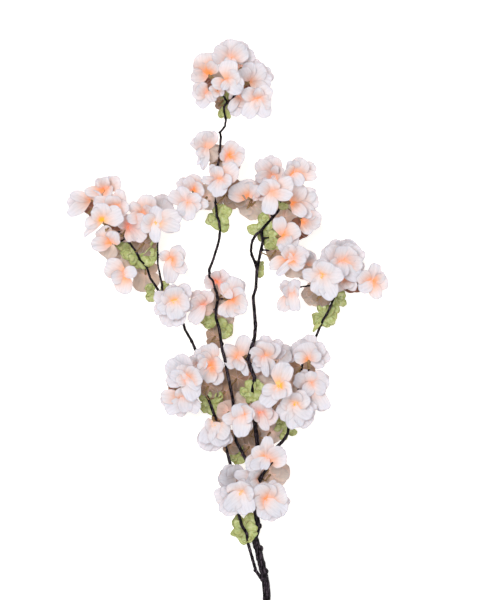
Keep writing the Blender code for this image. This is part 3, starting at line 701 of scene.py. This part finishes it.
def laid_petal(cloth, heart, petal, tone, dice, drop=0.0, thickness=CLOTH, claw=0.42, notch=0.03,
               lobed=0.0, bare=0.0):
    """A petal by the direction it points in and its reach seen from above.

    A petal that reaches less far stands up more steeply, one that shows its back hangs, and drop
    lays one flatter, in degrees. tone is how cool its white is.
    """
    azimuth, reach = petal[:2]
    seen = abs(reach)
    rise = np.interp(seen, (10.0, 18.0, 28.0), (46.0, 32.0, 14.0)) - drop + dice.uniform(-6, 6)
    ruffle = dice.uniform(0.4, 1.2)
    curl = dice.uniform(6, 28)
    arch = dice.uniform(4, 20)
    if reach < 0.0:
        rise = dice.uniform(8, 22)
    if lobed > 0.0:
        rise, arch, curl = dice.uniform(-9, 9) - drop, 0.6 * arch, curl + 16.0
    lifts = (rise + arch, rise - 0.8 * arch)
    length = seen / float(np.cos(slopes(lifts, np.linspace(0.0, 1.0, 20))).mean())
    width = 1.14 * petal[2] if len(petal) > 2 else max(length, FULL_PETAL) * dice.uniform(0.94, 1.08)
    if width > 1.15 * seen and lobed == 0.0:
        claw = 0.72
    out = pointing(azimuth + dice.uniform(-3, 3))
    up = UP if reach > 0.0 else -UP
    turn = Matrix((out, up.cross(out), up)).transposed()
    turn = turn @ Matrix.Rotation(math.radians(dice.uniform(-12, 12)), 3, "X")
    pressed_petal(cloth, turn, heart, length, width, lifts, curl, ruffle, tone, dice,
                  thickness, claw, notch, lobed, bare)


def lathe(cloth, start, axis, profile, slot=0, sides=10):
    """A turned form: profile holds distance along the axis and radius, in millimetres."""
    helper = UP if abs(axis.z) < 0.9 else Vector((1, 0, 0))
    first = axis.cross(helper).normalized()
    second = axis.cross(first)
    points = []
    for height, radius in profile:
        for step in range(sides):
            angle = 2.0 * math.pi * step / sides
            spoke = first * math.cos(angle) + second * math.sin(angle)
            points.append(start + (axis * height + spoke * radius) * MM)
    faces = []
    for ring in range(len(profile) - 1):
        for step in range(sides):
            a = ring * sides + step
            b = ring * sides + (step + 1) % sides
            faces.append((a, b, b + sides, a + sides))
    faces.append(tuple(reversed(range(sides))))
    faces.append(tuple(range((len(profile) - 1) * sides, len(profile) * sides)))
    cloth.add([tuple(point) for point in points], faces, slot)


def unique_points(node):
    points = np.array([vertex.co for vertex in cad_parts[node].data.vertices])
    return np.unique(np.round(points, 6), axis=0)


def blossom_pose(node):
    """Heart and facing of a blossom's solid, read from the end of its tube and its middle.

    Only the narrow end of the tube has points that lie within 2 mm of more than six others.
    """
    points = unique_points(node)
    gaps = np.linalg.norm(points[:, None] - points[None], axis=2)
    end = points[(gaps < 2.0 * MM).sum(axis=1) > 6].mean(axis=0)
    axis = Vector(points.mean(axis=0) - end).normalized()
    return Vector(end) + axis * TUBE_LENGTH * MM, axis


def calyx_middle(node):
    """Middle of the ring of a calyx's solid that its branch runs through."""
    points = unique_points(node)
    middle = points.mean(axis=0)
    reach = np.linalg.norm(points - middle, axis=1)
    return Vector(points[reach <= np.median(reach)].mean(axis=0))


def blossom(name, heart, axis, ways, dice):
    """One fabric blossom: pressed petals, some folded over the heart, sometimes a second ring
    behind, and the tube."""
    cloth = Cloth()
    heart = heart + ways.lift * MM * UP
    for petal in ways.behind:
        petal = petal if len(petal) > 2 else petal + (BEHIND_WIDTH * petal[1],)
        laid_petal(cloth, heart - BEHIND_DROP * MM * UP, petal, dice.uniform(0.6, 0.95), dice, drop=10.0)
    for place, petal in enumerate(ways.petals):
        laid_petal(cloth, heart + PETAL_STEP * place * MM * UP, petal, dice.uniform(0.0, 0.4), dice,
                   bare=ways.faint + dice.uniform(-0.14, 0.03))
    for place, (azimuth, reach, width) in enumerate(ways.near):
        base = heart - pointing(azimuth) * FOLD * MM + (NEAR_LIFT + NEAR_STEP * place) * MM * UP
        laid_petal(cloth, base, (azimuth, reach + FOLD, width), dice.uniform(0.0, 0.25), dice,
                   drop=6.0, claw=0.7, bare=dice.uniform(0.12, 0.3))
    # the tube of a blossom that faces down is in sight, and slim
    tube = ((-0.6, 1.2), (0.8, 2.6), (3.0, 2.5), (6.0, 1.9), (TUBE_LENGTH, 1.7))
    slim = 1.0 if axis.z > 0.0 else 0.5
    lathe(cloth, heart, -axis, [(height, radius * slim) for height, radius in tube], slot=1)
    return cloth.make(name, (PETAL_CLOTH[ways.dye], TUBE_PLASTIC))


def note_heart(heart, axis, ways):
    """Keeps the hearts that face up and show, for their stamens."""
    if ways.petals[0][1] > 0.0 and ways.faint == 0.0:
        hearts["yellow" if ways.dye == "yellow" else "orange"].append((heart + ways.lift * MM * UP, axis))


def stamen_tree(name, count, length, finish):
    """Stamens that fan out of every heart: a filament and a flocked head each."""
    tree = bpy.data.node_groups.new(name, "GeometryNodeTree")
    tree.interface.new_socket("Geometry", in_out="INPUT", socket_type="NodeSocketGeometry")
    for label, kind, value in (
        ("Count", "NodeSocketInt", count), ("Length", "NodeSocketFloat", length * MM),
        ("Filament Radius", "NodeSocketFloat", 0.18 * MM), ("Head Radius", "NodeSocketFloat", 0.5 * MM),
        ("Spread", "NodeSocketFloat", 0.75), ("Seed", "NodeSocketInt", 7),
        ("Finish", "NodeSocketMaterial", finish),
    ):
        socket = tree.interface.new_socket(label, in_out="INPUT", socket_type=kind)
        socket.default_value = value
    tree.interface.new_socket("Geometry", in_out="OUTPUT", socket_type="NodeSocketGeometry")
    given = add_node(tree, "NodeGroupInput").outputs

    # as many points at each heart as it has stamens
    rooted = add_node(tree, "GeometryNodeMeshToPoints", inputs={"Mesh": given["Geometry"]})
    copies = add_node(tree, "GeometryNodeDuplicateElements", {"domain": "POINT"}, {
        "Geometry": rooted.outputs["Points"], "Amount": given["Count"]})

    # each is turned to the heart's facing, then round it and away from it by chance
    towards = add_node(tree, "GeometryNodeInputNamedAttribute", {"data_type": "FLOAT_VECTOR"}, {
        "Name": "facing"})
    upright = add_node(tree, "FunctionNodeAlignRotationToVector", {"axis": "Z"}, {
        "Vector": towards.outputs["Attribute"]})
    azimuth = add_node(tree, "FunctionNodeRandomValue", {"data_type": "FLOAT"}, {
        "Min": 0.0, "Max": 6.283, "Seed": given["Seed"]})
    reseed = add_node(tree, "FunctionNodeIntegerMath", {"operation": "ADD"}, {0: given["Seed"], 1: 1})
    tilt = add_node(tree, "FunctionNodeRandomValue", {"data_type": "FLOAT"}, {
        "Min": 0.05, "Max": given["Spread"], "Seed": reseed.outputs["Value"]})
    rotation = upright.outputs["Rotation"]
    for axis, angle in (((0.0, 0.0, 1.0), azimuth), ((1.0, 0.0, 0.0), tilt)):
        step = add_node(tree, "FunctionNodeAxisAngleToRotation", inputs={
            "Axis": axis, "Angle": angle.outputs["Value"]})
        rotated = add_node(tree, "FunctionNodeRotateRotation", {"rotation_space": "LOCAL"}, {
            "Rotation": rotation, "Rotate By": step.outputs["Rotation"]})
        rotation = rotated.outputs["Rotation"]

    # one stamen
    filament = add_node(tree, "GeometryNodeMeshCone", inputs={
        "Vertices": 5, "Radius Top": given["Filament Radius"], "Radius Bottom": given["Filament Radius"],
        "Depth": given["Length"]})
    head = add_node(tree, "GeometryNodeMeshIcoSphere", inputs={
        "Radius": given["Head Radius"], "Subdivisions": 1})
    offset = add_node(tree, "ShaderNodeCombineXYZ", inputs={"Z": given["Length"]})
    raised = add_node(tree, "GeometryNodeTransform", inputs={
        "Geometry": head.outputs["Mesh"], "Translation": offset.outputs["Vector"]})
    joined = add_node(tree, "GeometryNodeJoinGeometry")
    tree.links.new(filament.outputs["Mesh"], joined.inputs["Geometry"])
    tree.links.new(raised.outputs["Geometry"], joined.inputs["Geometry"])

    longer = add_node(tree, "FunctionNodeRandomValue", {"data_type": "FLOAT"}, {
        "Min": 0.7, "Max": 1.15, "Seed": given["Seed"]})
    placed = add_node(tree, "GeometryNodeInstanceOnPoints", inputs={
        "Points": copies.outputs["Geometry"], "Instance": joined.outputs["Geometry"],
        "Rotation": rotation, "Scale": longer.outputs["Value"]})
    real = add_node(tree, "GeometryNodeRealizeInstances", inputs={
        "Geometry": placed.outputs["Instances"]})
    dressed = add_node(tree, "GeometryNodeSetMaterial", inputs={
        "Geometry": real.outputs["Geometry"], "Material": given["Finish"]})
    add_node(tree, "NodeGroupOutput", inputs={"Geometry": dressed.outputs["Geometry"]})
    return tree


def grow_stamens(name, places, count, length, finish):
    """One mesh of the stamens of every blossom of a kind."""
    seeds = bpy.data.meshes.new("hearts")
    seeds.from_pydata([tuple(heart + axis * STAMEN_LIFT * MM) for heart, axis in places], [], [])
    layer = seeds.attributes.new("facing", "FLOAT_VECTOR", "POINT")
    layer.data.foreach_set("vector", np.array([tuple(axis) for _, axis in places], np.float32).ravel())
    host = add_object("hearts", seeds)
    grower = host.modifiers.new("stamens", "NODES")
    grower.node_group = stamen_tree(name, count, length, finish)
    grown = host.evaluated_get(bpy.context.evaluated_depsgraph_get())
    mesh = bpy.data.meshes.new_from_object(grown)
    mesh.name = name
    mesh.materials.clear()
    mesh.materials.append(finish)
    mesh.polygons.foreach_set("material_index", np.zeros(len(mesh.polygons), np.int32))
    mesh.shade_smooth()
    bpy.data.objects.remove(host)
    return add_object(name, mesh)


def bark_over(node):
    """The branch's solid with its joints rounded and ridges raised along it."""
    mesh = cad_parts[node].data.copy()
    shape = bmesh.new()
    shape.from_mesh(mesh)
    bmesh.ops.remove_doubles(shape, verts=shape.verts, dist=0.002 * MM)
    shape.to_mesh(mesh)
    shape.free()
    branch = add_object(node + "_bark", mesh)
    fused = branch.modifiers.new("fuse", "REMESH")
    fused.mode = "VOXEL"
    fused.voxel_size = BARK_VOXEL * MM
    softened = branch.modifiers.new("soften", "SMOOTH")
    softened.factor = 0.5
    softened.iterations = 6
    graph = bpy.context.evaluated_depsgraph_get()
    finished = bpy.data.meshes.new_from_object(branch.evaluated_get(graph))
    branch.modifiers.clear()
    branch.data = finished
    finished.name = node + "_bark"

    count = len(finished.vertices)
    points = np.empty(count * 3, np.float32)
    normals = np.empty(count * 3, np.float32)
    finished.vertices.foreach_get("co", points)
    finished.vertices.foreach_get("normal", normals)
    points = points.reshape(-1, 3)
    normals = normals.reshape(-1, 3)
    ridge, lump = (
        np.array([noise.noise(Vector(place)) for place in (points * np.array(scale)).tolist()])
        for scale in (BARK_RIDGES, BARK_LUMPS))
    # how far the bark stands out, in millimetres, with more of it at the main stem's foot
    heights = 0.22 * ridge + 0.25 * lump + 0.12
    if node == "main_stem":
        foot = np.clip((FOOT_START - points[:, 1].astype(float) / MM) / FOOT_LENGTH, 0.0, 1.0)
        heights += foot * (1.4 + 0.5 * ridge + 0.4 * lump)
    points = points + normals * (heights[:, None] * MM).astype(np.float32)
    points[:, 2] = np.maximum(points[:, 2], 0.0)
    finished.vertices.foreach_set("co", points.ravel())

    gap = np.full(count, 1.0)
    for heart, _ in hearts["yellow"] + hearts["orange"]:
        gap = np.minimum(gap, np.linalg.norm(points - np.array(heart), axis=1))
    layer = finished.attributes.new("near_blossom", "FLOAT", "POINT")
    layer.data.foreach_set("value", np.clip(2.0 - gap / (BROWN_REACH * MM), 0.0, 1.0).astype(np.float32))
    finished.update()
    finished.shade_smooth()
    finished.materials.clear()
    finished.materials.append(BARK)
    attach(branch, "root")
    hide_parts(node)


def twig(name, near, course):
    """A bare twig through points given from a solid's middle, each with its radius, in millimetres."""
    cloth = Cloth()
    for (start, thick), (end, thin) in zip(course, course[1:]):
        start, end = (near + Vector(place) * MM for place in (start, end))
        length = (end - start).length / MM
        lathe(cloth, start, (end - start).normalized(), (
            (-0.5 * thick, 0.6 * thick), (0.0, thick), (0.5 * length, 0.47 * (thick + thin)), (length, thin),
            (length + 0.5 * thin, 0.6 * thin)))
    return cloth.make(name, (BARK,))


def small_twig(cloth, branches, end):
    """A thin twig that sags from the nearest branch to the end of a blossom's tube."""
    start = Vector(branches[np.linalg.norm(branches - np.array(end), axis=1).argmin()])
    middle = (start + end) / 2.0 - 0.1 * (end - start).length * UP
    for a, b in ((start, middle), (middle, end)):
        length = (b - a).length / MM
        lathe(cloth, a, (b - a).normalized(), ((-0.4, 0.7), (length + 0.4, 0.7)), sides=6)


def calyx_of(name, middle, leaves, dice):
    """A green collar round its branch: lobed leaves that lie along it, and a fold on some."""
    cloth = Cloth()
    for place, leaf in enumerate(leaves):
        base = middle - (4.4 - 0.3 * place) * MM * UP
        laid_petal(cloth, base, leaf, dice.uniform(0.0, 1.0), dice, **LEAF)
    for azimuth, reach, width in leaves[::3]:
        base = middle + pointing(azimuth) * 0.3 * reach * MM - 2.6 * MM * UP
        fold = (azimuth + dice.uniform(-25, 25), reach * 0.55, width * 0.7)
        laid_petal(cloth, base, fold, dice.uniform(0.0, 1.0), dice, drop=-14.0, **LEAF)
    lathe(cloth, middle, UP, ((-5.2, 1.8), (-4.4, 3.0), (-3.6, 3.0), (-2.6, 2.0)))
    return cloth.make(name, (CALYX_CLOTH,))


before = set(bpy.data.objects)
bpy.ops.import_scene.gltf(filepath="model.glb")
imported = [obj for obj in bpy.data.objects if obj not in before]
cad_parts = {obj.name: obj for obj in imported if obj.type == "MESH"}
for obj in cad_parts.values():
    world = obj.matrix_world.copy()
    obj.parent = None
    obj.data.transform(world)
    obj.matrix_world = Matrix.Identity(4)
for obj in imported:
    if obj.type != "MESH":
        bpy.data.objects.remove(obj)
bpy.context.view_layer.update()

PETAL_CLOTH = {dye: petal_cloth(dye) for dye in DYES_AND_PAINTED_SHADE}
CALYX_CLOTH = calyx_cloth()
BARK = moulded_bark()
YELLOW_STAMEN = stamen_plastic("yellow", "#FFAE20", "#FFD848")
ORANGE_STAMEN = stamen_plastic("orange", "#FF9648", "#FFBC70")
TUBE_PLASTIC = moulded_plastic("tube", "#7B5A3A", "#A58A5C", 400.0, 3.0, 0.2, {"Roughness": 0.6})

hearts = {"yellow": [], "orange": []}
poses = {}

for node in sorted(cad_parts):
    dice = random.Random(node)
    if node.startswith("blossom"):
        heart, axis = blossom_pose(node)
        ways = BLOSSOMS[node.removeprefix("blossom_")]
        poses[node] = heart
        piece = blossom(node + "_petals", heart, axis, ways, dice)
        note_heart(heart, axis, ways)
        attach(piece, "root")
        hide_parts(node)
    elif node.startswith("calyx"):
        poses[node] = calyx_middle(node)
        piece = calyx_of(node + "_lobes", poses[node], CALYCES[node.removeprefix("calyx_")], dice)
        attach(piece, "root")
        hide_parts(node)

branches = np.concatenate([
    unique_points(node) for node in sorted(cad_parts) if node.endswith(("_stem", "_branch"))])
small_twigs = Cloth()
for name, (near, offset, ways) in COMPANIONS.items():
    heart = poses["blossom_" + near] + Vector(offset) * MM
    axis = UP if ways.petals[0][1] > 0.0 else Vector((0.5, 0.6, -0.62)).normalized()
    piece = blossom("blossom_extra_" + name, heart, axis, ways, random.Random(name))
    note_heart(heart, axis, ways)
    small_twig(small_twigs, branches, heart - axis * TUBE_LENGTH * MM)
    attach(piece, "root")
piece = small_twigs.make("twigs_small", (TUBE_PLASTIC,))
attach(piece, "root")

for name, (near, offset, leaves) in EXTRA_CALYCES.items():
    middle = poses["calyx_" + near] + Vector(offset) * MM
    piece = calyx_of("calyx_extra_" + name, middle, leaves, random.Random(name))
    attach(piece, "root")

for node in sorted(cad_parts):
    if node.endswith(("_stem", "_branch")):
        bark_over(node)

for name, (near, course) in TWIGS.items():
    piece = twig("twig_" + name, poses[near], course)
    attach(piece, "root")

for stamens in (grow_stamens("stamens_yellow", hearts["yellow"], 14, 4.0, YELLOW_STAMEN),
                grow_stamens("stamens_orange", hearts["orange"], 8, 2.8, ORANGE_STAMEN)):
    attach(stamens, "root")

# Floor, light and camera, in metres
FLOOR_REACH = 4.0
PETAL_HEIGHT = 0.04        # of most petals above the surface
VIEW_MIDDLE = (0.0094, 0.0376)
VIEW_HEIGHT = 0.66         # that the camera sees at the petals, from top to bottom
LENS = 200.0               # in millimetres, as is the sensor
SENSOR = 36.0

# matt paper, which glows a little so that it stays white under the soft light
paper, _, _ = new_material("white_paper_sweep", {
    "Roughness": 0.9, "Specular IOR Level": 0.0, "Base Color": linear("#FCFCFA"),
    "Emission Color": linear("#FFFFFD"), "Emission Strength": 0.55})
floor_mesh = bpy.data.meshes.new("floor")
floor_mesh.from_pydata(
    [(x * FLOOR_REACH, y * FLOOR_REACH, 0.0) for x, y in ((-1, -1), (1, -1), (1, 1), (-1, 1))],
    [], [(0, 1, 2, 3)])
floor_mesh.materials.append(paper)
floor = add_object("floor", floor_mesh)

world = bpy.data.worlds.new("studio")
bpy.context.scene.world = world
world.use_nodes = True
set_inputs(world.node_tree, world.node_tree.nodes["Background"], {
    "Color": (1.0, 1.0, 1.0, 1.0), "Strength": 0.46})

for name, place, size, power in (
    ("softbox_key", (-1.1, 0.8, 3.9), 1.8, 93.0),
    ("softbox_fill", (1.0, -0.9, 2.4), 1.4, 12.0),
):
    light = bpy.data.lights.new(name, "AREA")
    light.shape = "SQUARE"
    light.size = size
    light.energy = power
    lamp = add_object(name, light)
    lamp.location = place
    lamp.rotation_euler = (PETAL_HEIGHT * UP - lamp.location).to_track_quat("-Z", "Y").to_euler()

view = bpy.data.cameras.new("camera")
view.lens = LENS
view.sensor_width = SENSOR
camera = add_object("camera", view)
camera.location = (*VIEW_MIDDLE, PETAL_HEIGHT + VIEW_HEIGHT * LENS / SENSOR)
bpy.context.scene.camera = camera
bpy.context.scene.view_settings.view_transform = "Standard"
